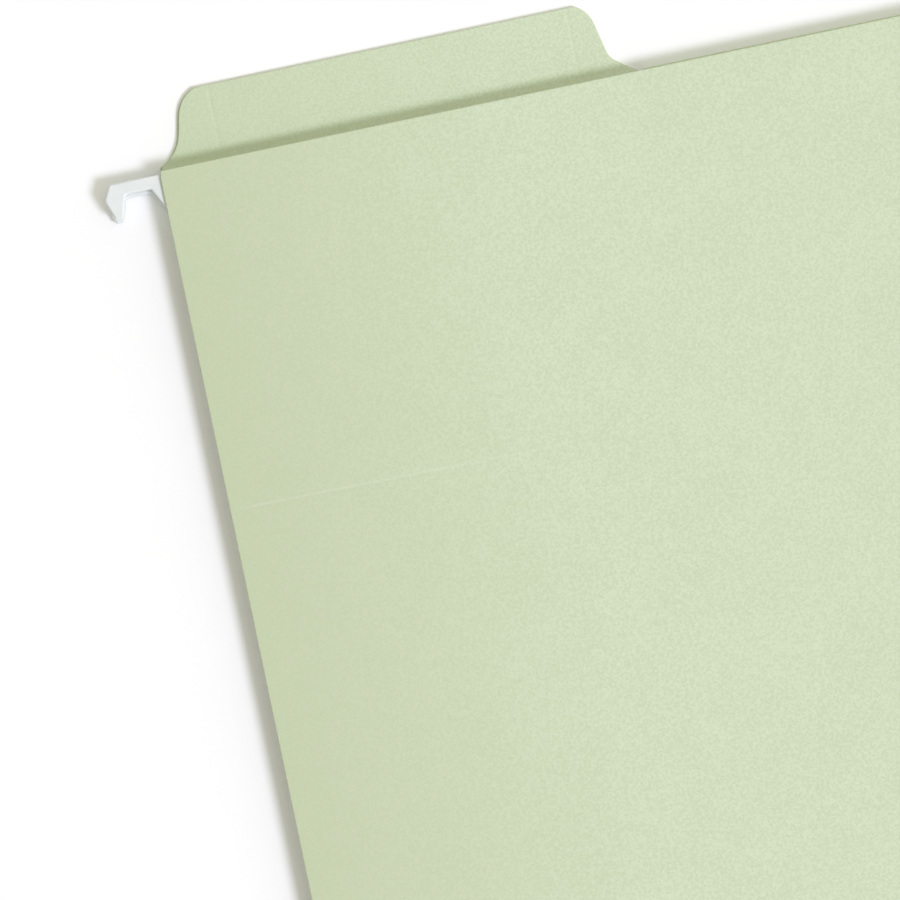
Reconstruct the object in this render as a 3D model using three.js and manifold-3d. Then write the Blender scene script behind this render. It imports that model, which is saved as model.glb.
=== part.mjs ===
// Hanging fastener folder, letter size, lying flat and closed on a table. Millimetres.
// +X runs along the hanger rods, +Y runs up the panels to the tab and +Z is up from the table.
// The origin is under the middle of the folder, on the table.

import * as THREE from 'three'
import { mergeVertices } from 'three/addons/utils/BufferGeometryUtils.js'
import Module from 'manifold-3d'

const wasm = await Module()
wasm.setup()

// Card: one sheet, scored into a rear panel, a gusset and a front panel.
const CARD = 0.5
const PANEL_WIDTH = 298.45
const FRONT_HEIGHT = 235
const REAR_RISE = 0.3 // how far the rear panel's top fold stands above the front one's
const CORNER_ROUND = 0.6
const SCORE_GAP = 0.3 // free card between the gusset strip and each panel, where it bends

// Hems: the top of each panel is folded inwards round its hanger rod and glued down.
const POCKET_HEIGHT = 1.6 // clear height for the rod
const POCKET_DEPTH = 10.8 // from the inside of the fold to where the flap starts down
const FOLD_ROUND = 0.5 // the card is folded square over the rod, with a small round at each bend
const HEM_STEP = 3
const HEM_GLUED = 8
const HEM_GAP = 0.1 // between the two closed hems

// Tab: one-third cut, at the left, standing up from the rear panel.
const TAB_HEIGHT = 16.1 // above the rear panel's top fold
const TAB_TOP_WIDTH = 85.9
const TAB_LEAN = THREE.MathUtils.degToRad(12)
const TAB_CORNER_RADIUS = 6.1
const TAB_FLARE_RADIUS = 9.5
const TAB_PANEL_WIDTH = 101.5 // from the left edge to the slit beside the tab
const SLIT_WIDTH = 0.4
const SLIT_DEPTH = 1.5 // how far the slit runs below the fold
const PLY_SETBACK = 0.3
const PLY_GLUED = 10

// Hanger rods: notched steel strips, dipped in plastic at both hooks.
const STEEL = 0.75
const COAT_WALL = 0.17
const COAT_FIT = 0.03
const COAT_INSIDE = 6 // coated length that stays inside the hem
const STRIP_HEIGHT = 8.5
const BAR_HEIGHT = 2.6
const HOOK_REACH = 12.3 // past the panel's edge
const HOOK_TOP_REACH = 10.75
const HOOK_BULGE_DROP = 3.1
const HOOK_TIP_DROP = 7.35
const TIP_OUTER_REACH = 10.75
const TIP_INNER_REACH = 9.1
const NOTCH_OUTER_REACH = 7.8
const NOTCH_INNER_REACH = 2.45
const SLANT_END = 0.5 // inside the panel's edge
const HOOK_TOP_ROUND = 0.7
const HOOK_BULGE_ROUND = 1.2
const HOOK_TIP_ROUND = 0.5
const NOTCH_ROUND = 1
const FRONT_ROD_DROP = 0.6 // below the front panel's top fold
const REAR_ROD_DROP = 1.2 // below the front panel's top fold too
const REAR_ROD_LEFT = 0.3 // the loose rear rod lies this far to the left of the front one
const ROD_PLAY = 0.3 // between the rear rod and the sloping card of the tab ply

// Fasteners: prongs on a hidden base strip, a bonded patch, a compressor bar and two sliders.
const FASTENER_FROM_LEFT = 19
const PRONG_SPACING = 69.85
const PRONG_LENGTH = 25.4
const PRONG_WIDTH = 3.2
const TINPLATE = 0.25
const BASE_WIDTH = 6
const PATCH_WIDTH = 22
const PATCH_LENGTH = 100
const PATCH_THICKNESS = 0.5
const PATCH_CORNER = 3
const BASE_FIT = 0.2
const BASE_HEADROOM = 0.05
const BAR_WIDTH = 10
const BAR_LENGTH = 89
const BAR_THICKNESS = 0.3
const COLLAR_HEIGHT = 0.3
const COLLAR_WIDTH = 7
const COLLAR_LENGTH = 4
const BAR_HOLE_WIDTH = 4.2
const BAR_HOLE_LENGTH = 1.8
const PRONG_FIT = 0.02 // between a folded prong and the bar below it
const STUB_GAP = 0.12 // bend zone between a stub and its prong
const SLIDER_LENGTH = 7
const SLIDER_SIDE_FIT = 0.1
const SLIDER_FIT = 0.05
const SLIDER_WALL = 0.3
const LIP_THICKNESS = 0.2
const LIP_REACH = 1.5
const SLIDERS_APART = 1

// Worked out from the sizes above.
const HALF_WIDTH = PANEL_WIDTH / 2
const HEM = 2 * CARD + POCKET_HEIGHT
const TOTAL = 2 * HEM + HEM_GAP
const HEM_FLAT = CARD + POCKET_DEPTH
const HEM_DEPTH = HEM_FLAT + HEM_STEP + HEM_GLUED
const REAR_HEIGHT = FRONT_HEIGHT + REAR_RISE
const TAB_TOP = REAR_HEIGHT + TAB_HEIGHT
const SLIT_X = TAB_PANEL_WIDTH - HALF_WIDTH
const TAB_CENTRE = PANEL_WIDTH / 6 - HALF_WIDTH
const COATED = STEEL + 2 * (COAT_FIT + COAT_WALL)
const REAR_ROD_TOP = FRONT_HEIGHT - REAR_ROD_DROP
const FRONT_ROD_TOP = FRONT_HEIGHT - FRONT_ROD_DROP
const REAR_ROD_Z = CARD + POCKET_HEIGHT / 2
const FRONT_ROD_Z = TOTAL - REAR_ROD_Z

const BLADE_Z = PATCH_THICKNESS + COLLAR_HEIGHT + BAR_THICKNESS + PRONG_FIT
const PRONG_OUTER = (PRONG_SPACING + TINPLATE) / 2

const material = (color, roughness, metalness = 0) =>
  new THREE.MeshStandardMaterial({ color, roughness, metalness })

const cardMaterial = material(0xd0dabb, 0.9)
const coatMaterial = material(0xeceeee, 0.35)
const steelMaterial = material(0xb9bcbc, 0.35, 1)
const tinplateMaterial = material(0xc9cac6, 0.3, 1)
const patchMaterial = material(0xc3cfad, 0.85)

// A closed outline through [x, y, radius] corners, anticlockwise, each rounded by its radius.
function outline(corners) {
  const shape = new THREE.Shape()
  corners.forEach(([x, y, radius = 0], i) => {
    if (radius === 0) {
      if (i === 0) shape.moveTo(x, y)
      else shape.lineTo(x, y)
      return
    }
    const corner = new THREE.Vector2(x, y)
    const before = corners.at(i - 1)
    const after = corners[(i + 1) % corners.length]
    const toBefore = new THREE.Vector2(before[0], before[1]).sub(corner).normalize()
    const toAfter = new THREE.Vector2(after[0], after[1]).sub(corner).normalize()
    const half = Math.acos(toBefore.dot(toAfter)) / 2
    const reach = radius / Math.tan(half)
    const middle = toBefore.clone().add(toAfter).setLength(radius / Math.sin(half)).add(corner)
    const start = toBefore.clone().multiplyScalar(reach).add(corner).sub(middle)
    const end = toAfter.clone().multiplyScalar(reach).add(corner).sub(middle)
    const inward = toBefore.cross(toAfter) > 0
    shape.absarc(middle.x, middle.y, radius, start.angle(), end.angle(), inward)
  })
  return shape
}

// The same corners, moved in by a distance all round.
function inset(corners, distance) {
  return corners.map(([x, y, radius = 0], i) => {
    const corner = new THREE.Vector2(x, y)
    const before = corners.at(i - 1)
    const after = corners[(i + 1) % corners.length]
    const into = corner.clone().sub(new THREE.Vector2(before[0], before[1])).normalize()
    const out = new THREE.Vector2(after[0], after[1]).sub(corner).normalize()
    const scale = distance / (1 + into.dot(out))
    const convex = into.cross(out) > 0
    const newRadius = convex ? Math.max(radius - distance, 0) : radius + distance
    return [x - (into.y + out.y) * scale, y + (into.x + out.x) * scale, radius && newRadius]
  })
}

// A plate with its outline in X and Y, between two heights.
function plate(shape, bottom, top, curveSegments = 6) {
  const geometry = new THREE.ExtrudeGeometry(shape, {
    depth: top - bottom,
    bevelEnabled: false,
    curveSegments,
  })
  return geometry.translate(0, 0, bottom)
}

// A strip with its section in Y and Z, between two places along X.
function strip(section, left, right, curveSegments = 6) {
  const geometry = plate(section, left, right, curveSegments)
  const alongX = new THREE.Matrix4().makeBasis(
    new THREE.Vector3(0, 1, 0),
    new THREE.Vector3(0, 0, 1),
    new THREE.Vector3(1, 0, 0),
  )
  return geometry.applyMatrix4(alongX)
}

const rectangle = (left, right, bottom, top, radius = 0) => [
  [left, bottom, radius],
  [right, bottom, radius],
  [right, top, radius],
  [left, top, radius],
]

const block = (left, right, near, far, bottom, top) =>
  plate(outline(rectangle(left, right, near, far)), bottom, top)

function solid(geometry) {
  geometry.deleteAttribute('normal')
  geometry.deleteAttribute('uv')
  const merged = mergeVertices(geometry, 1e-3)
  return new wasm.Manifold(
    new wasm.Mesh({
      numProp: 3,
      vertProperties: merged.attributes.position.array,
      triVerts: new Uint32Array(merged.index.array),
    }),
  )
}

function fromSolid(body) {
  const mesh = body.getMesh()
  const geometry = new THREE.BufferGeometry()
  geometry.setAttribute('position', new THREE.BufferAttribute(mesh.vertProperties, 3))
  geometry.setIndex(new THREE.BufferAttribute(mesh.triVerts, 1))
  return geometry
}

function piece(name, geometry, itsMaterial) {
  const mesh = new THREE.Mesh(geometry, itsMaterial)
  mesh.name = name
  return mesh
}

// A panel whose top is folded over a rod pocket and glued down, between two places along X.
function hemmedCard(height, left, right) {
  const flapStep = height - HEM_FLAT
  const flapLanding = flapStep - HEM_STEP
  const flapEnd = flapLanding - HEM_GLUED
  const section = outline([
    [0, 0],
    [height, 0, FOLD_ROUND],
    [height, HEM, FOLD_ROUND],
    [flapStep, HEM],
    [flapLanding, 2 * CARD],
    [flapEnd, 2 * CARD],
    [flapEnd, CARD],
    [0, CARD],
  ])
  const pocket = outline([
    [flapLanding, CARD],
    [height - CARD, CARD],
    [height - CARD, HEM - CARD],
    [flapStep, HEM - CARD],
  ])
  const card = solid(strip(section, left, right))
  return card.subtract(solid(strip(pocket, left - CARD, right + CARD)))
}

// The tab with both its flares, down to the bottom of the panel. The card's left edge cuts off the
// left flare, and the slit cuts off the right one.
function tabCorners() {
  const topHalf = TAB_TOP_WIDTH / 2
  const footHalf = topHalf + (TAB_TOP - REAR_HEIGHT) * Math.tan(TAB_LEAN)
  const reach = footHalf + TAB_FLARE_RADIUS
  return [
    [TAB_CENTRE - reach, 0],
    [TAB_CENTRE + reach, 0],
    [TAB_CENTRE + reach, REAR_HEIGHT],
    [TAB_CENTRE + footHalf, REAR_HEIGHT, TAB_FLARE_RADIUS],
    [TAB_CENTRE + topHalf, TAB_TOP, TAB_CORNER_RADIUS],
    [TAB_CENTRE - topHalf, TAB_TOP, TAB_CORNER_RADIUS],
    [TAB_CENTRE - footHalf, REAR_HEIGHT, TAB_FLARE_RADIUS],
    [TAB_CENTRE - reach, REAR_HEIGHT],
  ]
}

// Rear panel: flat card that runs on into the tab, and a hem to the right of the slit.
function rearPanel() {
  const slitBottom = REAR_HEIGHT - HEM / 2 - SLIT_DEPTH
  const besideSlit = solid(block(-HALF_WIDTH, SLIT_X - SLIT_WIDTH, 0, TAB_TOP, 0, CARD))
  const belowSlit = solid(block(-HALF_WIDTH, SLIT_X + HEM_GLUED, 0, slitBottom, 0, CARD))
  const flat = solid(plate(outline(tabCorners()), 0, CARD)).intersect(besideSlit).add(belowSlit)
  const hemmed = hemmedCard(REAR_HEIGHT, SLIT_X, HALF_WIDTH)
  const trim = solid(
    plate(outline([
      [-HALF_WIDTH, 0],
      [HALF_WIDTH, 0],
      [HALF_WIDTH, REAR_HEIGHT, CORNER_ROUND],
      [SLIT_X, REAR_HEIGHT],
      [SLIT_X, TAB_TOP],
      [-HALF_WIDTH, TAB_TOP],
    ]), 0, TOTAL),
  )
  return fromSolid(flat.add(hemmed).intersect(trim))
}

// Front panel: the same hemmed card, over its whole width, before it is turned over.
function frontPanel() {
  const hemmed = hemmedCard(FRONT_HEIGHT, -HALF_WIDTH, HALF_WIDTH)
  const trim = solid(
    plate(outline([
      [-HALF_WIDTH, 0],
      [HALF_WIDTH, 0],
      [HALF_WIDTH, FRONT_HEIGHT, CORNER_ROUND],
      [-HALF_WIDTH, FRONT_HEIGHT, CORNER_ROUND],
    ]), 0, TOTAL),
  )
  return fromSolid(hemmed.intersect(trim))
}

// Gusset: the narrow strip of the card between the two scores at the bottom.
const gussetStrip = () =>
  block(-HALF_WIDTH, HALF_WIDTH, 0, CARD, CARD + SCORE_GAP, TOTAL - CARD - SCORE_GAP)

// Tab ply: a second layer, glued to the rear panel, that steps over the rear rod onto the tab.
function tabPly() {
  const rodBottom = REAR_ROD_TOP - STRIP_HEIGHT
  const landing = rodBottom - ROD_PLAY - HEM_STEP
  const heights = [
    [landing - PLY_GLUED, CARD],
    [landing, CARD],
    [rodBottom - ROD_PLAY, HEM - CARD],
    [REAR_ROD_TOP + ROD_PLAY, HEM - CARD],
    [REAR_ROD_TOP + ROD_PLAY + HEM_STEP, CARD],
    [TAB_TOP, CARD],
  ]
  const upper = heights.map(([y, z]) => [y, z + CARD]).reverse()
  const right = SLIT_X - SLIT_WIDTH - PLY_SETBACK
  const section = outline([...heights, ...upper])
  const folded = solid(strip(section, PLY_SETBACK - HALF_WIDTH, right))
  const plan = inset(tabCorners(), PLY_SETBACK)
  return fromSolid(folded.intersect(solid(plate(outline(plan), 0, TOTAL))))
}

// One end of a hanger rod: its corners from the top edge, round the hook, to the lower edge.
function hookCorners(top, side) {
  const at = (reach, drop, radius) => [side * (HALF_WIDTH + reach), top - drop, radius]
  return [
    at(HOOK_TOP_REACH, 0, HOOK_TOP_ROUND),
    at(HOOK_REACH, HOOK_BULGE_DROP, HOOK_BULGE_ROUND),
    at(TIP_OUTER_REACH, HOOK_TIP_DROP, HOOK_TIP_ROUND),
    at(TIP_INNER_REACH, HOOK_TIP_DROP, HOOK_TIP_ROUND),
    at(NOTCH_OUTER_REACH, BAR_HEIGHT, NOTCH_ROUND),
    at(NOTCH_INNER_REACH, BAR_HEIGHT),
    at(-SLANT_END, STRIP_HEIGHT),
  ]
}

// The coated end of a rod, cut off at a distance inside the panel's edge.
function coatedEnd(top, side, inside) {
  const cut = side * (HALF_WIDTH - inside)
  const corners = [...hookCorners(top, side), [cut, top - STRIP_HEIGHT], [cut, top]]
  return side < 0 ? corners : corners.reverse()
}

function hangerRod(top, height) {
  const corners = [...hookCorners(top, -1), ...hookCorners(top, 1).reverse()]
  const steel = outline(inset(corners, COAT_WALL + COAT_FIT))
  return plate(steel, height - STEEL / 2, height + STEEL / 2)
}

function hookCoat(top, height, side) {
  const skin = plate(outline(coatedEnd(top, side, COAT_INSIDE)), height - COATED / 2, height + COATED / 2)
  const room = STEEL / 2 + COAT_FIT
  const core = outline(inset(coatedEnd(top, side, 2 * COAT_INSIDE), COAT_WALL))
  return fromSolid(solid(skin).subtract(solid(plate(core, height - room, height + room))))
}

// Base strip: hidden under the patch, with a stub at each end where a prong bends up.
function fastenerBase() {
  const half = BASE_WIDTH / 2
  let base = solid(block(-half, half, -PRONG_OUTER, PRONG_OUTER, 0, TINPLATE))
  const stubTop = BLADE_Z - STUB_GAP
  for (const outer of [PRONG_OUTER, TINPLATE - PRONG_OUTER]) {
    const stub = block(-PRONG_WIDTH / 2, PRONG_WIDTH / 2, outer - TINPLATE, outer, 0, stubTop)
    base = base.add(solid(stub))
  }
  return fromSolid(base)
}

// Patch: fibre sheet bonded to the panel over the base, slotted for the two stubs.
function fastenerPatch() {
  const corners = rectangle(
    -PATCH_WIDTH / 2, PATCH_WIDTH / 2, -PATCH_LENGTH / 2, PATCH_LENGTH / 2, PATCH_CORNER)
  let patch = solid(plate(outline(corners), 0, PATCH_THICKNESS))
  const half = BASE_WIDTH / 2 + BASE_FIT
  const end = PRONG_OUTER + BASE_FIT
  patch = patch.subtract(solid(block(-half, half, -end, end, -1, TINPLATE + BASE_HEADROOM)))
  const slotHalf = PRONG_WIDTH / 2 + BASE_FIT
  for (const outer of [PRONG_OUTER, TINPLATE - PRONG_OUTER]) {
    const slot = block(
      -slotHalf, slotHalf, outer - TINPLATE - BASE_FIT, outer + BASE_FIT, -1, 1)
    patch = patch.subtract(solid(slot))
  }
  return fromSolid(patch)
}

// Compressor bar: lies on the patch on a collar round each prong hole.
function compressorBar() {
  const bottom = PATCH_THICKNESS + COLLAR_HEIGHT
  const barCorners = rectangle(
    -BAR_WIDTH / 2, BAR_WIDTH / 2, -BAR_LENGTH / 2, BAR_LENGTH / 2, BAR_WIDTH / 2.01)
  let bar = solid(plate(outline(barCorners), bottom, bottom + BAR_THICKNESS))
  for (const y of [-PRONG_SPACING / 2, PRONG_SPACING / 2]) {
    const collar = block(
      -COLLAR_WIDTH / 2, COLLAR_WIDTH / 2, y - COLLAR_LENGTH / 2, y + COLLAR_LENGTH / 2,
      PATCH_THICKNESS, bottom + BAR_THICKNESS)
    const hole = block(
      -BAR_HOLE_WIDTH / 2, BAR_HOLE_WIDTH / 2, y - BAR_HOLE_LENGTH / 2, y + BAR_HOLE_LENGTH / 2,
      0, 2 * bottom)
    bar = bar.add(solid(collar)).subtract(solid(hole))
  }
  return fromSolid(bar)
}

// Prong: a blade folded flat towards the middle of the bar, side 1 or -1 along Y.
function prong(side) {
  const root = side * (PRONG_OUTER - STUB_GAP)
  const tip = side * (PRONG_OUTER - PRONG_LENGTH)
  const half = PRONG_WIDTH / 2
  const corners = [[-half, root], [-half, tip, half / 1.01], [half, tip, half / 1.01], [half, root]]
  if (side < 0) corners.reverse()
  return plate(outline(corners), BLADE_Z, BLADE_Z + TINPLATE)
}

// Slider: a clip with its lips under the bar, parked beside the middle, side 1 or -1 along Y.
function slider(side) {
  const inner = BAR_WIDTH / 2 + SLIDER_SIDE_FIT
  const outer = inner + SLIDER_WALL
  const lipTop = PATCH_THICKNESS + COLLAR_HEIGHT - SLIDER_FIT
  const lipBottom = lipTop - LIP_THICKNESS
  const roof = BLADE_Z + TINPLATE + SLIDER_FIT
  const top = roof + TINPLATE
  const section = outline([
    [outer, lipBottom],
    [outer, top],
    [-outer, top],
    [-outer, lipBottom],
    [-outer + LIP_REACH, lipBottom],
    [-outer + LIP_REACH, lipTop],
    [-inner, lipTop],
    [-inner, roof],
    [inner, roof],
    [inner, lipTop],
    [outer - LIP_REACH, lipTop],
    [outer - LIP_REACH, lipBottom],
  ])
  const start = side > 0 ? SLIDERS_APART / 2 : -SLIDERS_APART / 2 - SLIDER_LENGTH
  const geometry = plate(section, 0, SLIDER_LENGTH)
  return geometry.rotateX(Math.PI / 2).translate(0, start + SLIDER_LENGTH, 0)
}

function fastener(prefix) {
  const group = new THREE.Group()
  group.add(
    piece(`${prefix}_fastener_base`, fastenerBase(), tinplateMaterial),
    piece(`${prefix}_fastener_patch`, fastenerPatch(), patchMaterial),
    piece(`${prefix}_compressor_bar`, compressorBar(), tinplateMaterial),
  )
  for (const [place, side] of [['upper', 1], ['lower', -1]]) {
    group.add(
      piece(`${prefix}_prong_${place}`, prong(side), tinplateMaterial),
      piece(`${prefix}_slider_${place}`, slider(side), tinplateMaterial),
    )
  }
  group.position.set(FASTENER_FROM_LEFT - HALF_WIDTH, FRONT_HEIGHT / 2, CARD)
  return group
}

function rod(prefix, top, height, left) {
  const group = new THREE.Group()
  group.position.x = -left
  group.add(
    piece(`${prefix}_hanger_rod`, hangerRod(top, height), steelMaterial),
    piece(`${prefix}_hook_coat_left`, hookCoat(top, height, -1), coatMaterial),
    piece(`${prefix}_hook_coat_right`, hookCoat(top, height, 1), coatMaterial),
  )
  return group
}

const folder = new THREE.Group()

const front = piece('front_panel', frontPanel(), cardMaterial)
front.rotation.y = Math.PI
front.position.z = TOTAL

const frontFastener = fastener('front')
frontFastener.rotation.y = Math.PI
frontFastener.position.z = TOTAL - CARD

folder.add(
  piece('rear_panel', rearPanel(), cardMaterial),
  piece('gusset_strip', gussetStrip(), cardMaterial),
  front,
  piece('tab_reinforcing_ply', tabPly(), cardMaterial),
  rod('rear', REAR_ROD_TOP, REAR_ROD_Z, REAR_ROD_LEFT),
  rod('front', FRONT_ROD_TOP, FRONT_ROD_Z, 0),
  fastener('rear'),
  frontFastener,
)
folder.position.y = -TAB_TOP / 2

export default folder
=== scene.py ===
# Hanging fastener folder, letter size, closed and lying flat on a table.
# Blender works in metres. The sizes in each section are millimetres, and MM turns them into metres.

import math

import bmesh
import bpy
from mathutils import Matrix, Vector


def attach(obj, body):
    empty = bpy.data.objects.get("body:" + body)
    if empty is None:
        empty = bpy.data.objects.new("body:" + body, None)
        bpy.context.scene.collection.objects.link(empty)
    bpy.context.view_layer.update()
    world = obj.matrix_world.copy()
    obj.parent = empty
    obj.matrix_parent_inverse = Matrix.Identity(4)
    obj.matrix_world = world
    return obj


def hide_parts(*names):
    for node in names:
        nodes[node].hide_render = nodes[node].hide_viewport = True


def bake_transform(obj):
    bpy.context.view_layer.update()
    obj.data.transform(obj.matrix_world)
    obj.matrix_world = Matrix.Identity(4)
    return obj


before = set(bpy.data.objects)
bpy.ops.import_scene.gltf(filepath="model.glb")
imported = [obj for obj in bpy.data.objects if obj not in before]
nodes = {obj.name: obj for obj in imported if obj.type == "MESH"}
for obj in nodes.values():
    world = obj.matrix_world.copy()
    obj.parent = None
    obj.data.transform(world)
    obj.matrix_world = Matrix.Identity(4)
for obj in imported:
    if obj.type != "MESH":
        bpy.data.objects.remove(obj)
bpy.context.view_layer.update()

scene = bpy.context.scene
scene.view_settings.view_transform = "Standard"


# Camera
# It looks straight down on the upper left part of the folder, turned by about 12 degrees.
MM = 0.001
CAMERA_HEIGHT = 700
FRAMED_WIDTH = 184.1  # of the front panel, across the picture
FRAMED_MIDDLE = Vector((-102.72, 41.22, 5.3))

camera_data = bpy.data.cameras.new("camera")
camera_data.sensor_width = 36
camera_data.lens = 36 * CAMERA_HEIGHT / FRAMED_WIDTH
camera_data.clip_start = 0.01
camera = bpy.data.objects.new("camera", camera_data)
camera.location = (FRAMED_MIDDLE + Vector((0, 0, CAMERA_HEIGHT))) * MM
camera.rotation_euler = (0, 0, math.radians(-11.85))
scene.collection.objects.link(camera)
scene.camera = camera


# Table
# A white laminate board. Its faint unevenness comes from the pressed decor paper under the melamine.
def linear(colour):
    """A colour such as "#cfdabc" as the linear red, green, blue and alpha that a shader takes."""
    parts = [int(colour[i:i + 2], 16) / 255 for i in (1, 3, 5)]
    return [p / 12.92 if p <= 0.04045 else ((p + 0.055) / 1.055) ** 2.4 for p in parts] + [1]


def add_node(material, kind, values=None, links=None, **settings):
    """Adds a shader node, sets its sockets from values and plugs each output in links into it."""
    node = material.node_tree.nodes.new(kind)
    for name, value in settings.items():
        setattr(node, name, value)
    for socket, value in (values or {}).items():
        node.inputs[socket].default_value = value
    for socket, output in (links or {}).items():
        material.node_tree.links.new(output, node.inputs[socket])
    return node


def new_material(name):
    material = bpy.data.materials.new(name)
    material.use_nodes = True
    material.node_tree.nodes.clear()
    return material


def across(size):
    """The scale of a noise texture in metres whose spots are about this many millimetres across."""
    return 1 / (size * MM)


def in_sight(material):
    """1 for what the camera sees straight or mirrored, and 0 for light that falls on something."""
    light_path = add_node(material, "ShaderNodeLightPath").outputs
    mirrored = add_node(
        material, "ShaderNodeMath", None,
        {0: light_path["Is Glossy Ray"], 1: light_path["Is Transmission Ray"]}, operation="MAXIMUM")
    seen = add_node(
        material, "ShaderNodeMath", None,
        {0: light_path["Is Camera Ray"], 1: mirrored.outputs[0]}, operation="MAXIMUM")
    return seen.outputs[0]


laminate = new_material("white_melamine_laminate")
place = add_node(laminate, "ShaderNodeTexCoord")
unevenness = add_node(
    laminate, "ShaderNodeTexNoise", {"Scale": across(30), "Detail": 2},
    {"Vector": place.outputs["Object"]})
board_colour = add_node(
    laminate, "ShaderNodeMix", {6: linear("#fbfbfa"), 7: linear("#fdfdfd")},
    {0: unevenness.outputs["Fac"]}, data_type="RGBA")
board = add_node(
    laminate, "ShaderNodeBsdfPrincipled", {"Roughness": 0.6, "Specular IOR Level": 0.2},
    {"Base Color": board_colour.outputs[2]})
whiter = add_node(
    laminate, "ShaderNodeMath", {1: 0.045}, {0: in_sight(laminate)}, operation="MULTIPLY")
glow = add_node(
    laminate, "ShaderNodeEmission", {"Color": linear("#ffffff")}, {"Strength": whiter.outputs[0]})
white_board = add_node(
    laminate, "ShaderNodeAddShader", None, {0: board.outputs[0], 1: glow.outputs[0]})
add_node(laminate, "ShaderNodeOutputMaterial", links={"Surface": white_board.outputs[0]})

table_mesh = bpy.data.meshes.new("table")
table_mesh.from_pydata([(-4, -4, 0), (4, -4, 0), (4, 4, 0), (-4, 4, 0)], [], [(0, 1, 2, 3)])
table_mesh.materials.append(laminate)
table = bpy.data.objects.new("table", table_mesh)
scene.collection.objects.link(table)


# Light
# One large soft box, far off to the lower right and about 45 degrees up, and a slightly warm room
# round it. The room is brighter to the right than to the left, as the shadows on the two sides show.
room = bpy.data.worlds.new("room")
scene.world = room
room.use_nodes = True
room.node_tree.nodes.clear()
towards = add_node(room, "ShaderNodeTexCoord")
to_right = add_node(room, "ShaderNodeSeparateXYZ", None, {0: towards.outputs["Generated"]})
brightness = add_node(
    room, "ShaderNodeMapRange", {"From Min": -1, "From Max": 1, "To Min": 0.32, "To Max": 0.9},
    {"Value": to_right.outputs["X"]})
room_light = add_node(
    room, "ShaderNodeBackground", {"Color": linear("#fffeee")}, {"Strength": brightness.outputs[0]})
room_white = add_node(room, "ShaderNodeBackground", {"Color": linear("#ffffff"), "Strength": 1})
room_mix = add_node(
    room, "ShaderNodeMixShader", None,
    {0: in_sight(room), 1: room_light.outputs[0], 2: room_white.outputs[0]})
add_node(room, "ShaderNodeOutputWorld", links={"Surface": room_mix.outputs[0]})

soft_box = bpy.data.lights.new("key", "AREA")
soft_box.shape = "DISK"
soft_box.size = 3.06
soft_box.energy = 706
soft_box.color = linear("#eaeaff")[:3]
from_folder = Vector((5.4, -4.5, 7.7))
lamp = bpy.data.objects.new("key", soft_box)
lamp.location = FRAMED_MIDDLE * MM + from_folder
lamp.rotation_euler = from_folder.to_track_quat("Z", "Y").to_euler()
scene.collection.objects.link(lamp)


# Front panel
# The front of the one card sheet, 0.5 mm pulp-dyed pressboard, seen first from above. Its top is
# folded in round the hanger rod and glued down inside. The cut rim is a little rounded and painted
# paler as a painted highlight.
CARD = 0.5
HALF_WIDTH = 298.45 / 2
FRONT_HEIGHT = 235
TOTAL = 5.3  # both hems, one on the other
TAB_TOP = 251.4  # from the bottom of the folder
HEM = 2.6  # thickness of the card folded over the rod
FOLD_ROUND = 0.25  # outside of each of its two square bends, which are almost sharp inside
FLAP_FLAT = 10.8  # from the second bend to where the flap steps down
FLAP_STEP = 3
FLAP_GLUED = 8
CORNER_WORN = (0.3, 1.3)  # how far in and how far down the corners are worn at the fold
CREASE_DEPTH = 0.02
CREASE_ENDS = (-148, -55)
CREASE_START = (-146, 38.3)  # a place on it near its left end
CREASE_FALL = 0.0122  # per millimetre to the right
CREASE_HALF = 0.2
CREASE_PALER = 0.28  # share of the pale, loose fibres on it
RIM_ROUND = 0.09
BEND_RUN = 0.9  # flat card below the panel that belongs to the scored bend


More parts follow.
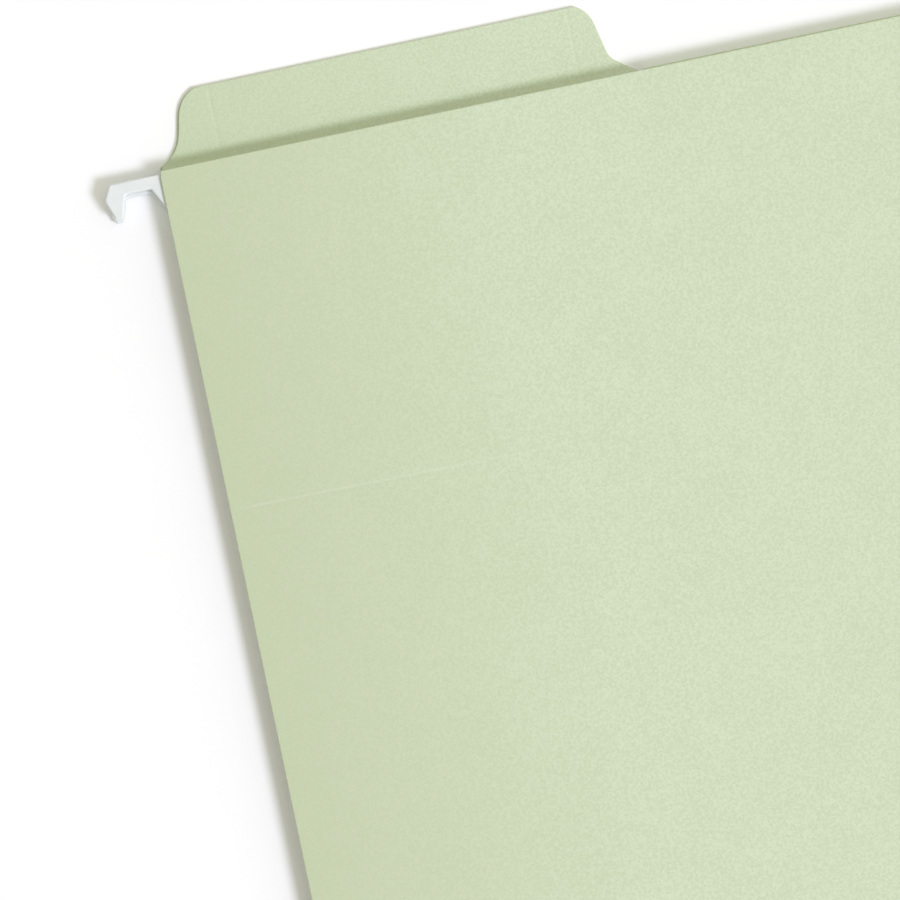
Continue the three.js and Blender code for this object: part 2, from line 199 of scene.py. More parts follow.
def sheet(
        corners, cuts_across, cuts_along, thickness, rim_round, place, seams=(), holes=(),
        support=0.12):
    """A closed sheet of even thickness with a rounded rim, as vertices, faces and each vertex's share
    of the rim. corners run anticlockwise in the flat blank, place(x, s, depth) folds the blank up,
    and the rim stays square where both ends of an edge lie on one of the seams. A hole is a
    rectangle of left, right, near and far."""
    run = rim_round + support

    def outward(before, here, after):
        sides = []
        for a, b in ((before, here), (here, after)):
            edge = Vector((b[0] - a[0], b[1] - a[1])).normalized()
            closed = any(abs(a[1] - s) < 1e-4 and abs(b[1] - s) < 1e-4 for s in seams)
            sides.append((edge.y, -edge.x, 0 if closed else 1))
        (ax, ay, da), (bx, by, db) = sides
        det = ax * by - ay * bx
        if abs(det) < 1e-4:
            return Vector((ax * da, ay * da))
        return Vector(((da * by - db * ay) / det, (ax * db - bx * da) / det))

    flat = bmesh.new()
    count = len(corners)
    inner = []
    for i, (x, s) in enumerate(corners):
        push = outward(corners[i - 1], (x, s), corners[(i + 1) % count]) * run
        inner.append(flat.verts.new((x - push.x, s - push.y, 0)))
    flat.faces.new(inner)
    holes = [(left - run, right + run, near - run, far + run) for left, right, near, far in holes]
    for axis, cuts in ((0, cuts_across), (1, cuts_along)):
        for cut in [*cuts, *(side for hole in holes for side in hole[2 * axis:2 * axis + 2])]:
            normal = (1, 0, 0) if axis == 0 else (0, 1, 0)
            bmesh.ops.bisect_plane(
                flat, geom=flat.verts[:] + flat.edges[:] + flat.faces[:], dist=1e-4,
                plane_co=[cut * n for n in normal], plane_no=normal)
    cut_out = []
    for face in flat.faces:
        x, s, _ = face.calc_center_median()
        if any(left < x < right and near < s < far for left, right, near, far in holes):
            cut_out.append(face)
    bmesh.ops.delete(flat, geom=cut_out, context="FACES")
    flat.verts.index_update()
    size = len(flat.verts)
    blank = [(v.co.x, v.co.y, 0) for v in flat.verts]
    blank += [(v.co.x, v.co.y, thickness) for v in flat.verts]
    rim = [0] * (2 * size)
    faces = []
    following = {}
    for face in flat.faces:
        loop = [v.index for v in face.verts]
        if face.normal.z < 0:
            loop.reverse()
        faces.append(loop[::-1])
        faces.append([i + size for i in loop])
        for a, b in zip(loop, loop[1:] + loop[:1]):
            following[(a, b)] = True
    border = {a: b for a, b in following if (b, a) not in following}
    before = {b: a for a, b in border.items()}
    profile = [(support, 0, 0)]
    for step in range(1, 4):
        turn = math.pi / 2 * step / 3
        profile.append((
            support + rim_round * math.sin(turn), rim_round * (1 - math.cos(turn)), step / 3))
    profile += [(reach, thickness - depth, share) for reach, depth, share in reversed(profile)]
    rows = {}
    for here in border:
        p = blank[here]
        push = outward(blank[before[here]], p, blank[border[here]])
        rows[here] = [here]
        for step, (reach, depth, share) in enumerate(profile, 1):
            if push.length < 1e-6:
                depth = thickness * step / (len(profile) + 1)
            rows[here].append(len(blank))
            blank.append((p[0] + push.x * reach, p[1] + push.y * reach, depth))
            rim.append(share if push.length > 0.5 else 0)
        rows[here].append(here + size)
    for a, b in border.items():
        for i in range(len(profile) + 1):
            faces.append((rows[a][i], rows[b][i], rows[b][i + 1], rows[a][i + 1]))
    flat.free()
    return [place(*p) for p in blank], faces, rim


def add_piece(name, vertices, faces, material, slot, rim=None):
    """A piece from vertices in millimetres, smooth all over, with its faces turned outwards."""
    mesh = bpy.data.meshes.new(name)
    mesh.from_pydata([Vector(v) * MM for v in vertices], [], faces)
    shell = bmesh.new()
    shell.from_mesh(mesh)
    bmesh.ops.recalc_face_normals(shell, faces=shell.faces[:])
    shell.to_mesh(mesh)
    shell.free()
    mesh.shade_smooth()
    if rim:
        mesh.attributes.new("cut_edge", "FLOAT", "POINT").data.foreach_set("value", rim)
    mesh.materials.append(material)
    piece = bpy.data.objects.new(name, mesh)
    scene.collection.objects.link(piece)
    return piece


def steps(start, end, count):
    return [start + (end - start) * i / count for i in range(count + 1)]


def ease(t):
    t = min(max(t, 0), 1)
    return t * t * (3 - 2 * t)


def card(name, left_shade=0.85):
    """Pulp-dyed pressboard: dull, even moss green, with painted shade, darker towards the left end.
    Its short fibres make spots of about 0.5 mm, and the pulp lies a little unevenly over 10 mm.
    The cut rim is painted paler, a painted highlight, and paler, loose fibres show on a crease."""
    material = new_material(name)
    place = add_node(material, "ShaderNodeTexCoord").outputs["Object"]
    clouds = add_node(
        material, "ShaderNodeTexNoise", {"Scale": across(10), "Detail": 2, "Roughness": 0.5},
        {"Vector": place})
    grain = add_node(
        material, "ShaderNodeTexNoise", {"Scale": across(0.55), "Detail": 2, "Roughness": 0.65},
        {"Vector": place})
    mixed = add_node(
        material, "ShaderNodeMix", {0: 0.86}, {2: clouds.outputs["Fac"], 3: grain.outputs["Fac"]},
        data_type="FLOAT")
    tone = add_node(
        material, "ShaderNodeMapRange", {"From Min": 0.38, "From Max": 0.62},
        {"Value": mixed.outputs[0]})
    green = add_node(
        material, "ShaderNodeMix", {6: linear("#ccd8b8"), 7: linear("#d8e3c6")},
        {0: tone.outputs[0]}, data_type="RGBA")
    along = add_node(material, "ShaderNodeSeparateXYZ", None, {0: place})
    # Painted shade: the card is mixed towards a darker green at its left end, where less light falls.
    left_shade_share = add_node(
        material, "ShaderNodeMapRange",
        {"From Min": -78 * MM, "From Max": -160 * MM, "To Max": left_shade},
        {"Value": along.outputs["X"]})
    colour = add_node(
        material, "ShaderNodeMix", {7: linear("#c3ceab")},
        {0: left_shade_share.outputs[0], 6: green.outputs[2]}, data_type="RGBA")
    # Painted highlight: the cut rim is mixed towards a pale green. On the crease the same pale green
    # stands for loose fibres.
    rim = add_node(material, "ShaderNodeAttribute", attribute_name="cut_edge")
    rim_share = add_node(
        material, "ShaderNodeMath", {1: 0.7}, {0: rim.outputs["Fac"]}, operation="MULTIPLY")
    edged = add_node(
        material, "ShaderNodeMix", {7: linear("#e6edda")},
        {0: rim_share.outputs[0], 6: colour.outputs[2]}, data_type="RGBA", name="card colour")
    tooth = add_node(
        material, "ShaderNodeBump", {"Strength": 0.25, "Distance": 0.04 * MM},
        {"Height": grain.outputs["Fac"]}, name="tooth")
    surface = add_node(
        material, "ShaderNodeBsdfPrincipled",
        {"Roughness": 0.85, "Specular IOR Level": 0.25, "IOR": 1.5},
        {"Base Color": edged.outputs[2], "Normal": tooth.outputs[0]}, name="surface")
    add_node(material, "ShaderNodeOutputMaterial", links={"Surface": surface.outputs[0]})
    return material


def hem(height):
    """Folds a blank whose top goes round the rod: from a place along the blank and a depth in the
    card to the height up the panel and the height above the panel's outer face."""
    fold_start = height - FOLD_ROUND
    quarter = math.pi / 2 * FOLD_ROUND
    edge = HEM - 2 * FOLD_ROUND
    flap_start = fold_start + 2 * quarter + edge
    drop = HEM - 2 * CARD

    def fold(s, depth):
        radius = FOLD_ROUND * (1 - 0.9 * depth / CARD)
        middle = depth + radius
        pulled = middle - FOLD_ROUND
        if s <= fold_start:
            return s - pulled * min(max(s - fold_start + 1, 0), 1), depth
        if s <= fold_start + quarter:
            turn = (s - fold_start) / FOLD_ROUND
            return height - middle + radius * math.sin(turn), middle - radius * math.cos(turn)
        if s <= fold_start + quarter + edge:
            share = (s - fold_start - quarter) / edge
            return height - depth, middle + (HEM - 2 * middle) * share
        if s <= flap_start:
            turn = (flap_start - s) / FOLD_ROUND
            inside = HEM - middle
            return height - middle + radius * math.sin(turn), inside + radius * math.cos(turn)
        along = s - flap_start
        sunk = min(drop * ease((along - FLAP_FLAT) / FLAP_STEP), drop - 0.01)
        return fold_start - along - pulled * max(1 - along, 0), HEM - sunk - depth

    return fold, fold_start, flap_start


def hem_cuts(fold_start, flap_start, coarse):
    """Where a hemmed blank is cut along its length: at its seam, and finely round the fold and in the
    step."""
    quarter = math.pi / 2 * FOLD_ROUND
    cuts = [BEND_RUN + 0.2] + [s for s in coarse if s < fold_start - 1]
    cuts += [fold_start - 1, fold_start - 0.2] + steps(fold_start, fold_start + quarter, 6)
    cuts += steps(flap_start - quarter, flap_start, 6) + [flap_start + 0.2, flap_start + 1]
    step = flap_start + FLAP_FLAT
    return cuts + [step - 0.3] + steps(step, step + FLAP_STEP, 8) + [step + FLAP_STEP + 0.3]


def worn_side(x, fold_start, flap_start, end):
    """The corners up one side of a hemmed blank, worn back a little where it is folded."""
    inwards, down = CORNER_WORN
    worn_x = x - math.copysign(inwards, x)
    return [
        (x, BEND_RUN), (x, fold_start - down), (worn_x, fold_start), (worn_x, flap_start),
        (x, flap_start + down), (x, end)]


front_fold, front_start, front_flap = hem(FRONT_HEIGHT)
front_end = front_flap + FLAP_FLAT + FLAP_STEP + FLAP_GLUED


def crease(x, y):
    """How much of the handling crease is at a place: 1 along its middle, 0 a little off it."""
    left, right = CREASE_ENDS
    start_x, start_y = CREASE_START
    along = min(ease((x - left) / 4), ease((right - x) / 60))
    off = y - start_y + CREASE_FALL * (x - start_x)
    return along * math.exp(-(off / CREASE_HALF) ** 2)


def place_front(x, s, depth):
    y, z = front_fold(s, depth)
    y -= TAB_TOP / 2
    dent = CREASE_DEPTH * crease(x, y) if s < front_start else 0
    return x, y, TOTAL - z - dent


def share_on_crease(sheet_made):
    """The rim shares of the front panel's sheet, with the outer side of the crease added."""
    shares = []
    for (x, y, z), share in zip(sheet_made[0], sheet_made[2]):
        outside = z > TOTAL - 0.1
        shares.append(max(share, CREASE_PALER * crease(x, y)) if outside else share)
    return shares


right_side = worn_side(HALF_WIDTH, front_start, front_flap, front_end)
left_side = worn_side(-HALF_WIDTH, front_start, front_flap, front_end)
front_card = card("moss_pressboard_front")
across_crease = steps(*CREASE_ENDS, 24)
along_crease = steps(162.4, 164.6, 16)
front_sheet = sheet(
    right_side + left_side[::-1], across_crease + steps(-45, 140, 18),
    hem_cuts(front_start, front_flap, steps(8, 160, 19) + along_crease + steps(168, 232, 8)),
    CARD, RIM_ROUND, place_front, seams=[BEND_RUN])
front_panel = add_piece(
    "front_panel_card", *front_sheet[:2], front_card, "card", share_on_crease(front_sheet))
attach(front_panel, "front")
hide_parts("front_panel")


# Rear panel with the tab
# The back of the same sheet. At its left end the one-third-cut tab stands up past the front panel,
# and to the right of a short slit the top is folded in round the rear rod, as on the front panel.
REAR_HEIGHT = 235.5
TAB_FOOT = 235.3  # the cut beside the tab
TAB_TOP_WIDTH = 85.9
TAB_CENTRE = HALF_WIDTH / 3 - HALF_WIDTH  # the middle of the panel's left third
TAB_LEAN = math.radians(12)
TAB_CORNERS = (7.5, 6.2)  # left and right
TAB_FLARE = 8.5  # on the left, where the card's edge cuts it off
SLOPE = math.radians(36)  # on the right, where the flank turns into a slope down to the slit
SLOPE_END = -48.5
SLOPE_ROUND = 4
TAB_TRIM = 0.3  # cut off the top, so that the round corners end in a slight angle
TAB_TILT = 0.25  # how far the tab's top edge runs down to the left
SLIT_X = 101.5 - HALF_WIDTH
SLIT_WIDTH = 0.15
SLIT_BOTTOM = 232.5


def rounded(corners):
    """Corners of x, y and an optional radius as points, with each radius rounded off."""
    points = []
    for i, (x, y, *radius) in enumerate(corners):
        here = Vector((x, y))
        if not radius:
            points.append((x, y))
            continue
        before = (Vector(corners[i - 1][:2]) - here).normalized()
        after = (Vector(corners[(i + 1) % len(corners)][:2]) - here).normalized()
        half = math.acos(before.dot(after)) / 2
        reach = radius[0] / math.tan(half)
        middle = here + (before + after).normalized() * radius[0] / math.sin(half)
        start = here + before * reach - middle
        turn = start.angle_signed(here + after * reach - middle)
        count = max(4, round(abs(math.degrees(turn)) / 7))
        for k in range(count + 1):
            angle = -turn * k / count
            points.append((
                middle.x + start.x * math.cos(angle) - start.y * math.sin(angle),
                middle.y + start.x * math.sin(angle) + start.y * math.cos(angle)))
    return points


def cut_off(points, axis, limit, side):
    """An outline without what lies beyond a line across the axis: side is 1 to keep what lies above
    or to the right of the limit, and -1 to keep what lies below or to the left of it. Points almost
    at the cut go too, because such short edges would fold over in the rim."""
    kept = []
    for a, b in zip(points, points[1:] + points[:1]):
        if (a[axis] - limit) * side >= 0:
            kept.append(a)
        if (a[axis] - limit) * (b[axis] - limit) < 0:
            share = (limit - a[axis]) / (b[axis] - a[axis])
            kept.append(tuple(p + (q - p) * share for p, q in zip(a, b)))
    cuts = [p for p in kept if abs(p[axis] - limit) < 1e-6]
    return [p for p in kept if p in cuts or all(math.dist(p, cut) > 0.3 for cut in cuts)]


def tab(bottom, setback, left, right):
    """The tab's outline down to bottom, set back all round, and cut off at left and right."""
    foot, top = TAB_FOOT - setback, TAB_TOP - setback + TAB_TRIM

    def half(height):
        run = (TAB_TOP - height) * math.tan(TAB_LEAN)
        return TAB_TOP_WIDTH / 2 + run - setback / math.cos(TAB_LEAN)

    steep, shallow = math.tan(TAB_LEAN), math.tan(SLOPE)
    low = TAB_FOOT - setback / math.cos(SLOPE)  # the slope's height at its end
    knee = (low + shallow * (SLOPE_END - TAB_CENTRE - half(0))) / (1 - shallow * steep)
    reach = half(foot) + TAB_FLARE
    points = rounded([
        (TAB_CENTRE + reach, foot),
        (SLOPE_END + (low - foot) / shallow, foot),
        (TAB_CENTRE + half(knee), knee, SLOPE_ROUND + setback),
        (TAB_CENTRE + half(top), top, TAB_CORNERS[1] - setback),
        (TAB_CENTRE - half(top), top, TAB_CORNERS[0] - setback),
        (TAB_CENTRE - half(foot), foot, TAB_FLARE + setback),
        (TAB_CENTRE - reach, foot),
        (TAB_CENTRE - reach, bottom),
        (TAB_CENTRE + reach, bottom),
    ])
    points = cut_off(points, 1, TAB_TOP - setback - TAB_TRIM, -1)
    return cut_off(cut_off(points, 0, left, 1), 0, right, -1)


rear_fold, rear_start, rear_flap = hem(REAR_HEIGHT)
rear_end = rear_flap + FLAP_FLAT + FLAP_STEP + FLAP_GLUED


def tilted(x, s):
    """The height of a place on the tab when the tab's top edge runs down to the left."""
    share = min(max((TAB_CENTRE + TAB_TOP_WIDTH / 2 - x) / TAB_TOP_WIDTH, 0), 1)
    return s - TAB_TILT * share * ease((s - TAB_FOOT) / (TAB_TOP - TAB_FOOT))


def place_rear(x, s, depth):
    y, z = rear_fold(s, depth) if x > SLIT_X - SLIT_WIDTH / 2 else (tilted(x, s), depth)
    return x, y - TAB_TOP / 2, z


rear_corners = worn_side(HALF_WIDTH, rear_start, rear_flap, rear_end)
rear_corners += [(SLIT_X, rear_end), (SLIT_X, SLIT_BOTTOM), (SLIT_X - SLIT_WIDTH, SLIT_BOTTOM)]
rear_corners += tab(BEND_RUN, 0, -HALF_WIDTH, SLIT_X - SLIT_WIDTH)[:-1]
rear_card = card("moss_pressboard")
rear_sheet = sheet(
    rear_corners, steps(-140, 140, 28), hem_cuts(rear_start, rear_flap, steps(8, 232, 28)),
    CARD, RIM_ROUND, place_rear, seams=[BEND_RUN])
rear_panel = add_piece("rear_panel_card", *rear_sheet[:2], rear_card, "card", rear_sheet[2])
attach(rear_panel, "rear")
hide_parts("rear_panel")


# Tab reinforcing ply
# A second layer of the same card, glued over the tab. It steps over the rear rod, whose pocket it
# closes at this end, and down again onto the rear panel.
PLY_SETBACK = 0.3
PLY_BOTTOM = 212
PLY_ASIDE = 0.12  # glued this far to the right of the middle of the tab, and this far up
PLY_UP = 0.18
TAB_MARKS = (-136.3, -60.9)  # faint upright lines pressed into the tab
MARK_DEPTH = 0.05
MARK_HALF = 0.35
OVER_ROD = HEM - CARD
PLY_HEIGHTS = [  # of its underside, up along the ply
    (PLY_BOTTOM, CARD), (222, CARD), (225, OVER_ROD), (234.1, OVER_ROD), (237.1, CARD)]


def place_ply(x, s, depth):
    under = CARD
    for (a, low), (b, high) in zip(PLY_HEIGHTS, PLY_HEIGHTS[1:]):
        if s > a:
            under = low + (high - low) * ease((s - a) / (b - a))
    pressed = sum(math.exp(-((x - mark) / MARK_HALF) ** 2) for mark in TAB_MARKS) * MARK_DEPTH
    y = tilted(x, s) + PLY_UP - TAB_TOP / 2
    return x + PLY_ASIDE, y, under + 0.01 + depth * 0.98 - pressed * depth / CARD


ply_corners = tab(
    PLY_BOTTOM, PLY_SETBACK, PLY_SETBACK - HALF_WIDTH, SLIT_X - SLIT_WIDTH - PLY_SETBACK)
ply_cuts = steps(-137.3, -135.3, 10) + steps(-130, -70, 6) + steps(-61.9, -59.9, 10)
ply_sheet = sheet(
    ply_corners, ply_cuts, steps(221.7, 225.3, 12) + steps(233.8, 237.4, 12) + [243], CARD,
    RIM_ROUND, place_ply)
# The tab takes less of the painted shade at the left end.
tab_card = card("moss_pressboard_tab", left_shade=0.55)
tab_ply = add_piece("tab_ply_card", *ply_sheet[:2], tab_card, "card", ply_sheet[2])
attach(tab_ply, "rear")
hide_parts("tab_reinforcing_ply")


# Bottom
# The narrow strip between the two scores, with the card bent up on each side of it. Each half is
# one piece, bent round its score.
SCORE_RADIUS = 0.6  # outside of the bend
BEND_ARC = math.pi / 2 * SCORE_RADIUS


def bend(s, depth):
    """From the flat panel round the score and up the gusset: distances from the outer corner."""
    flat_run = BEND_RUN - SCORE_RADIUS
    if s <= flat_run:
        return BEND_RUN - s, depth
    radius = SCORE_RADIUS - depth
    if s <= flat_run + BEND_ARC:
        turn = (s - flat_run) / SCORE_RADIUS
        return SCORE_RADIUS - radius * math.sin(turn), SCORE_RADIUS - radius * math.cos(turn)
    return depth, SCORE_RADIUS + s - flat_run - BEND_ARC


bend_start = BEND_RUN - SCORE_RADIUS
bend_end = bend_start + BEND_ARC + TOTAL / 2 - SCORE_RADIUS
bend_corners = [(-HALF_WIDTH, 0), (HALF_WIDTH, 0), (HALF_WIDTH, bend_end), (-HALF_WIDTH, bend_end)]
for name, up in (("rear_bottom_bend", 1), ("front_bottom_bend", -1)):
    def place_bend(x, s, depth):
        out, height = bend(s, depth)
        return x, out - TAB_TOP / 2, height if up > 0 else TOTAL - height

    bend_sheet = sheet(
        bend_corners, steps(-140, 140, 28),
        [0.15] + steps(bend_start, bend_start + BEND_ARC, 10) + [
            bend_start + BEND_ARC + 0.2, bend_end - 0.15],
        CARD, RIM_ROUND, place_bend, seams=[0, bend_end])
    strip = add_piece(name, *bend_sheet[:2], rear_card, "card", bend_sheet[2])
    if up > 0:
        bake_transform(strip)
    else:
        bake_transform(strip)
    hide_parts("gusset_strip")


# Hook coats
# White vinyl that the rod's ends are dipped in, glossy. It draws itself round at the edges, which
# are painted a shade greyer, painted shade that tones down the highlight there.
STRIP_HEIGHT = 8.5
BAR_HEIGHT = 2.6
COATED = 1.15
COAT_INSIDE = 6
COAT_ROUND = 0.42
HOOK_CORNERS = [  # how far past the panel's side, how far below the rod's top, and how round
    (10.75, 0, 0.7), (12.3, 3.1, 1.2), (10.75, 7.35, 0.5), (9.1, 7.35, 0.5),
    (7.8, BAR_HEIGHT, 1), (2.45, BAR_HEIGHT, 0.5), (-0.5, STRIP_HEIGHT, 0.5),
    (-COAT_INSIDE, STRIP_HEIGHT), (-COAT_INSIDE, 0)]
ROD_TOPS = {"front": 234.4, "rear": 233.8}
ROD_SHIFTS = {"front": 0, "rear": -0.3}
ROD_HEIGHTS = {"front": TOTAL - HEM / 2, "rear": HEM / 2}

vinyl = new_material("dipped_white_vinyl")
place = add_node(vinyl, "ShaderNodeTexCoord")
ripple = add_node(
    vinyl, "ShaderNodeTexNoise", {"Scale": across(2.5), "Detail": 2},
    {"Vector": place.outputs["Object"]})
white = add_node(
    vinyl, "ShaderNodeMix", {6: linear("#e2e8e6"), 7: linear("#ecf0ee")},
    {0: ripple.outputs["Fac"]}, data_type="RGBA")
# Painted shade: the coat's rim is mixed towards a greyer white.
coat_rim_shade = add_node(vinyl, "ShaderNodeAttribute", attribute_name="cut_edge")
vinyl_colour = add_node(
    vinyl, "ShaderNodeMix", {7: linear("#e6eaea")},
    {0: coat_rim_shade.outputs["Fac"], 6: white.outputs[2]}, data_type="RGBA")
vinyl_bump = add_node(
    vinyl, "ShaderNodeBump", {"Strength": 0.2, "Distance": 0.05 * MM},
    {"Height": ripple.outputs["Fac"]})
vinyl_surface = add_node(
    vinyl, "ShaderNodeBsdfPrincipled", {"Roughness": 0.35, "IOR": 1.5},
    {"Base Color": vinyl_colour.outputs[2], "Normal": vinyl_bump.outputs[0]})
add_node(vinyl, "ShaderNodeOutputMaterial", links={"Surface": vinyl_surface.outputs[0]})

for body, top in ROD_TOPS.items():
    for side_name, side in (("left", -1), ("right", 1)):
        hook = [
            (side * (HALF_WIDTH + past), top - below, *radius)
            for past, below, *radius in HOOK_CORNERS]
        if side > 0:
            hook.reverse()

        def place_coat(x, s, depth):
            return x + ROD_SHIFTS[body], s - TAB_TOP / 2, ROD_HEIGHTS[body] - COATED / 2 + depth

        coat_sheet = sheet(rounded(hook), [], [], COATED, COAT_ROUND, place_coat, support=0.05)
        coat = add_piece(
            f"{body}_{side_name}_hook_coat", *coat_sheet[:2], vinyl, "hook_coat", coat_sheet[2])
        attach(coat, body)
        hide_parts(f"{body}_hook_coat_{side_name}")


# Hanger rods
# Cold-rolled steel strip, slit and punched to its notched ends. Fine lines run along it.
steel = new_material("cold_rolled_steel_strip")
place = add_node(steel, "ShaderNodeTexCoord")
stretch = add_node(
    steel, "ShaderNodeMapping", {"Scale": (0.02, 1, 1)}, {"Vector": place.outputs["Object"]})
lines = add_node(
    steel, "ShaderNodeTexNoise", {"Scale": across(0.3), "Detail": 3}, {"Vector": stretch.outputs[0]})
steel_colour = add_node(
    steel, "ShaderNodeMix", {6: linear("#b4b8b9"), 7: linear("#c8cbcb")},
    {0: lines.outputs["Fac"]}, data_type="RGBA")
steel_rough = add_node(
    steel, "ShaderNodeMapRange", {"To Min": 0.28, "To Max": 0.42}, {"Value": lines.outputs["Fac"]})
steel_surface = add_node(
    steel, "ShaderNodeBsdfPrincipled", {"Metallic": 1},
    {"Base Color": steel_colour.outputs[2], "Roughness": steel_rough.outputs[0]})
add_node(steel, "ShaderNodeOutputMaterial", links={"Surface": steel_surface.outputs[0]})
for name in ("front_hanger_rod", "rear_hanger_rod"):
    nodes[name].data.materials.clear()
    nodes[name].data.materials.append(steel)


# Fasteners
# One inside each panel, at its left end. A tinplate base with two prongs lies under a fibre patch
# that is glued to the card, and the prongs hold down a compressor bar with two clips that slide on it.
FASTENER_PLACE = Vector((19 - HALF_WIDTH, FRONT_HEIGHT / 2 - TAB_TOP / 2))
TINPLATE = 0.25
BEND_ROUND = 0.3  # outside of a bend in the tinplate
HOLE_AT = 69.85 / 2
BASE_HALF = 3
BASE_UNDER = 0.01
STUB_TOP = 0.98
PRONG_OUTER = 35.05  # outer faces of the two prong roots
PRONG_HALF = 1.6
PRONG_TOP = 1.37  # of the folded prong
PRONG_ROOT = 34.65  # where the flat blade starts
PRONG_TIP = 9.65
PATCH = 0.5
PATCH_HALF = (11, 50)
PATCH_RAISED = 0.27  # where the base lies under it
PATCH_PRINT = 0.04  # how far its top stands out there
PATCH_SLOT_HALF = 1.8  # the slots that the stubs come through
PATCH_SLOT = (34.6, 35.25)
BAR = 0.3
BAR_HALF = (5, 44.5)
BAR_UNDER = 0.8
BAR_HOLE_HALF = (2.1, 0.9)
BAR_SEATED = 0.28  # how far it is pressed down round the prong holes, where it stands on the patch
GROOVE_OUT = 2.9  # the two grooves along the bar, out from its middle
GROOVE_DEPTH = 0.07
CLIP = 0.2
CLIP_LENGTH = 7
CLIP_PARKED = 0.5  # from the middle to the near end of a parked clip
CLIP_HALF = 5.4
CLIP_UNDER = 0.55
CLIP_TOP = 1.67
CLIP_LIP = 1.5
CLIP_RIBS = (2.5, 3.5, 4.5)
RIB_HEIGHT = 0.09


def on_panel(body, x, y, z):
    """A place on a fastener: across it and along it from its middle, and its height above the
    inside of the panel."""
    height = CARD + z if body == "rear" else TOTAL - CARD - z
    return FASTENER_PLACE.x + x, FASTENER_PLACE.y + y, height


def folded(corners, radius):
    """Folds a blank along a path of left turns through corners: gives the place in the section for
    a way along the blank and a depth to the left of it, the ways where bends start and end, and the
    whole length."""
    points = [Vector(corner) for corner in corners]
    straights = [b - a for a, b in zip(points, points[1:])]
    turns = [a.angle(b) for a, b in zip(straights, straights[1:])]
    spans = []
    way = 0
    here = points[0]
    for i, straight in enumerate(straights):
        heading = straight.normalized()
        reach = radius * math.tan(turns[i] / 2) if i < len(turns) else 0
        end = points[i + 1] - heading * reach
        spans.append((way, here, heading, 0))
        way += (end - here).length
        if reach:
            spans.append((way, end, heading, 1))
            way += radius * turns[i]
            here = points[i + 1] + straights[i + 1].normalized() * reach

    def fold(s, depth):
        start, corner, heading, bent = [span for span in spans if span[0] <= max(s, 0)][-1]
        left = Vector((-heading.y, heading.x))
        if not bent:
            return corner + heading * (s - start) + left * depth
        turn = (s - start) / radius
        middle = corner + left * radius
        return middle + (heading * math.sin(turn) - left * math.cos(turn)) * (radius - depth)

    return fold, [span[0] for span in spans[1:]], way


def rectangle(left, right, near, far, radius):
    return rounded([
        (left, near, radius), (right, near, radius), (right, far, radius), (left, far, radius)])


def both_ends(cuts):
    return [side * cut for side in (-1, 1) for cut in cuts]


tinplate = new_material("bright_tinplate")
place = add_node(tinplate, "ShaderNodeTexCoord")
drawn = add_node(
    tinplate, "ShaderNodeMapping", {"Scale": (1, 0.05, 1)}, {"Vector": place.outputs["Object"]})
rolling = add_node(
    tinplate, "ShaderNodeTexNoise", {"Scale": across(0.25), "Detail": 3}, {"Vector": drawn.outputs[0]})
smears = add_node(
    tinplate, "ShaderNodeTexNoise", {"Scale": across(5), "Detail": 3},
    {"Vector": place.outputs["Object"]})
tin_colour = add_node(
    tinplate, "ShaderNodeMix", {6: linear("#b8b9b6"), 7: linear("#cbccc9")},
    {0: smears.outputs["Fac"]}, data_type="RGBA")
tin_rough = add_node(
    tinplate, "ShaderNodeMapRange", {"To Min": 0.32, "To Max": 0.46}, {"Value": smears.outputs["Fac"]})
tin_lines = add_node(
    tinplate, "ShaderNodeBump", {"Strength": 0.12, "Distance": 0.01 * MM},
    {"Height": rolling.outputs["Fac"]})
tin_surface = add_node(
    tinplate, "ShaderNodeBsdfPrincipled", {"Metallic": 1},
    {"Base Color": tin_colour.outputs[2], "Roughness": tin_rough.outputs[0],
     "Normal": tin_lines.outputs[0]})
add_node(tinplate, "ShaderNodeOutputMaterial", links={"Surface": tin_surface.outputs[0]})

# The patch is hard fibre board, the card's green but deeper, with a denser, slightly shiny face.
fibre = card("hard_fibre_board")
# The patch's rim gets a weaker painted highlight.
fibre.node_tree.nodes["card colour"].inputs[7].default_value = linear("#d5dec8")
fibre_surface = fibre.node_tree.nodes["surface"]
deeper = add_node(
    fibre, "ShaderNodeMix", {0: 1, 7: linear("#eaeee6")},
    {6: fibre.node_tree.nodes["card colour"].outputs[2]}, data_type="RGBA", blend_type="MULTIPLY")
fibre.node_tree.links.new(deeper.outputs[2], fibre_surface.inputs["Base Color"])
fibre_surface.inputs["Roughness"].default_value = 0.6
fibre_surface.inputs["Specular IOR Level"].default_value = 0.4

base_fold, base_bends, base_length = folded([
    (-PRONG_OUTER, STUB_TOP), (-PRONG_OUTER, BASE_UNDER),
    (PRONG_OUTER, BASE_UNDER), (PRONG_OUTER, STUB_TOP)], BEND_ROUND)
base_narrow = base_bends[1] + 0.6  # the blank's narrow ends, and where it has its full width
base_full = base_narrow + 0.8
base_side = [
    (PRONG_HALF, 0), (PRONG_HALF, base_narrow), (BASE_HALF, base_full),
    (BASE_HALF, base_length - base_full), (PRONG_HALF, base_length - base_narrow),
    (PRONG_HALF, base_length)]
base_blank = base_side + [(-x, s) for x, s in reversed(base_side)]
root_fold, root_bends, root_length = folded(
    [(PRONG_OUTER, STUB_TOP), (PRONG_OUTER, PRONG_TOP), (PRONG_ROOT, PRONG_TOP)], BEND_ROUND)
clip_side = [(CLIP_HALF - CLIP_LIP, CLIP_UNDER), (CLIP_HALF, CLIP_UNDER), (CLIP_HALF, CLIP_TOP)]
clip_fold, clip_bends, clip_width = folded(
    clip_side + [(-out, height) for out, height in reversed(clip_side)], BEND_ROUND)


def bend_cuts(bends, count=5):
    """Where a blank is cut so that each of its bends is round."""
    cuts = []
    for start, end in zip(bends[::2], bends[1::2]):
        cuts += steps(start, end, count)
    return cuts


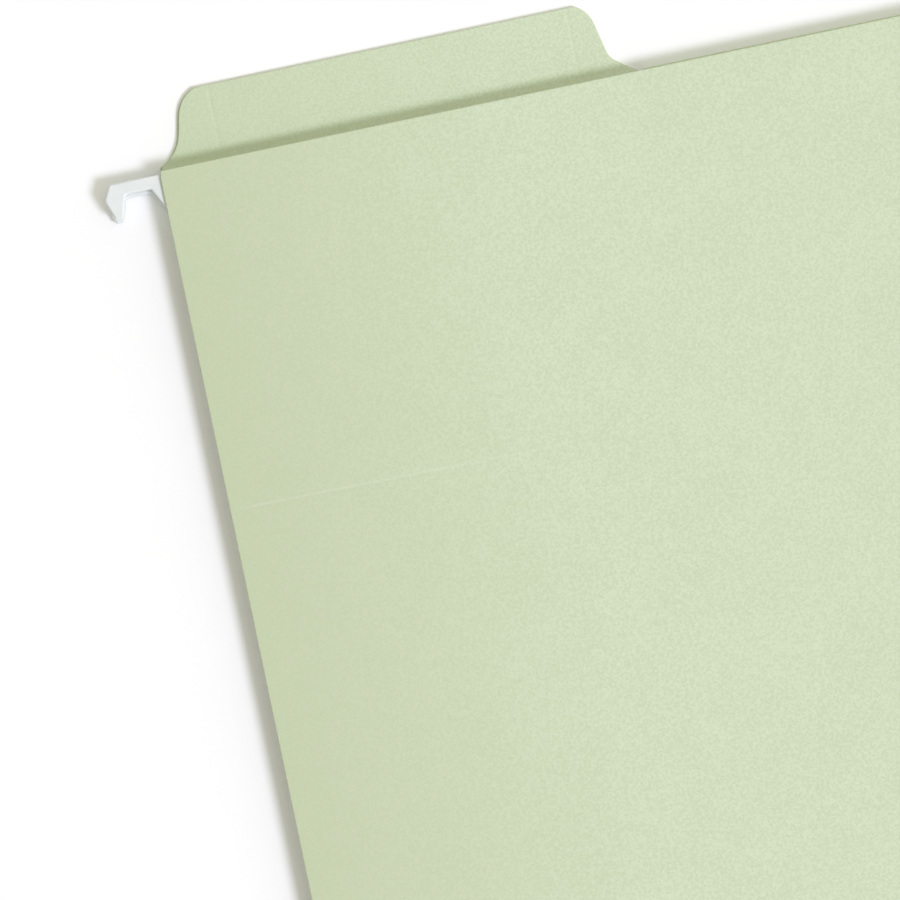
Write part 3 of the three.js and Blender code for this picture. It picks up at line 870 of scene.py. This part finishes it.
def tin_piece(name, blank, cuts_across, cuts_along, place, thickness=TINPLATE, **rim):
    """A piece of tinplate from its blank, with rim_round, support, seams and holes as for a sheet."""
    rim = {"rim_round": 0.06, "support": 0.05, **rim}
    made = sheet(blank, cuts_across, cuts_along, thickness, place=place, **rim)
    return add_piece(name, *made[:2], tinplate, "tinplate")


for body in ("rear", "front"):
    def place_base(x, s, depth):
        return on_panel(body, x, *base_fold(s, depth))

    def place_patch(x, s, depth):
        raised = ease((4 - abs(x)) / 0.8) * ease((36 - abs(s)) / 0.8)
        under = PATCH_RAISED * raised
        top = PATCH + PATCH_PRINT * raised
        return on_panel(body, x, s, under + (top - under) * depth / PATCH)

    def place_bar(x, s, depth):
        seated = ease((3.9 - abs(x)) / 0.7) * ease((2.5 - abs(abs(s) - HOLE_AT)) / 0.7)
        grooved = math.exp(-((abs(x) - GROOVE_OUT) / 0.35) ** 2) * ease((31.5 - abs(s)) / 2)
        sunk = BAR_SEATED * seated + GROOVE_DEPTH * grooved
        return on_panel(body, x, s, BAR_UNDER + depth - sunk)

    base = tin_piece(
        f"{body}_fastener_base_strip", base_blank, [], bend_cuts(base_bends), place_base)

    wide, long = PATCH_HALF
    near, far = PATCH_SLOT
    patch_sheet = sheet(
        rectangle(-wide, wide, -long, long, 3), both_ends([3.2, 3.6, 4]),
        both_ends([35.6, 36]) + steps(-30, 30, 6), PATCH, 0.12, place_patch,
        holes=[(-PATCH_SLOT_HALF, PATCH_SLOT_HALF, *ends) for ends in ((-far, -near), (near, far))])
    patch = add_piece(
        f"{body}_fibre_patch_sheet", *patch_sheet[:2], fibre, "fibre_patch", patch_sheet[2])

    wide, long = BAR_HALF
    hole_wide, hole_long = BAR_HOLE_HALF
    bar = tin_piece(
        f"{body}_compressor_bar_plate", rectangle(-wide, wide, -long, long, wide - 0.03),
        both_ends(steps(2.4, 3.5, 7) + [3.9]),
        both_ends([29.5, 30.5, 31.5, 32.4, 32.8, 33.2, 36.7, 37.1, 37.5]), place_bar, BAR,
        rim_round=0.09, support=0.12, holes=[
            (-hole_wide, hole_wide, middle - hole_long, middle + hole_long)
            for middle in (-HOLE_AT, HOLE_AT)])

    for piece, node in ((base, "fastener_base"), (patch, "fastener_patch"), (bar, "compressor_bar")):
        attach(piece, body)
        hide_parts(f"{body}_{node}")

    for where, side in (("upper", 1), ("lower", -1)):
        prong = f"{body}_prong_{where}"
        slider = f"{body}_slider_{where}"

        def place_root(x, s, depth):
            y, z = root_fold(s, depth)
            return on_panel(body, x, side * y, z)

        def place_blade(x, s, depth):
            hollow = 0.03 * (x / PRONG_HALF) ** 2
            return on_panel(body, x, side * s, PRONG_TOP - TINPLATE + depth - hollow)

        def place_clip(x, s, depth):
            out, z = clip_fold(s, depth)
            if z > 1.3:  # its top, which is ribbed
                ribs = sum(math.exp(-((x - rib) / 0.3) ** 2) for rib in CLIP_RIBS)
                z += RIB_HEIGHT * ribs * ease((3.6 - abs(out)) / 0.6)
            return on_panel(body, out, side * (CLIP_PARKED + x), z)

        root = tin_piece(
            f"{body}_prong_root_{where}",
            [(-PRONG_HALF, 0), (PRONG_HALF, 0), (PRONG_HALF, root_length), (-PRONG_HALF, root_length)],
            [], bend_cuts(root_bends, 8), place_root, seams=[0, root_length])
        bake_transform(root)
        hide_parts(prong)

        blade = tin_piece(
            f"{body}_prong_blade_{where}",
            rounded([
                (-PRONG_HALF, PRONG_TIP, 1.55), (PRONG_HALF, PRONG_TIP, 1.55),
                (PRONG_HALF, PRONG_ROOT), (-PRONG_HALF, PRONG_ROOT)]),
            [-0.8, 0, 0.8], steps(12, 34, 11), place_blade, seams=[PRONG_ROOT])
        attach(blade, prong)
        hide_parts(prong)

        clip = tin_piece(
            f"{body}_clip_{where}", rectangle(0, CLIP_LENGTH, 0, clip_width, 0.4),
            steps(1.4, 5.6, 28), bend_cuts(clip_bends) + [
                clip_width / 2 + cut for cut in both_ends([3, 3.3, 3.6]) + [0]],
            place_clip, CLIP)
        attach(clip, slider)
        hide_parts(slider)
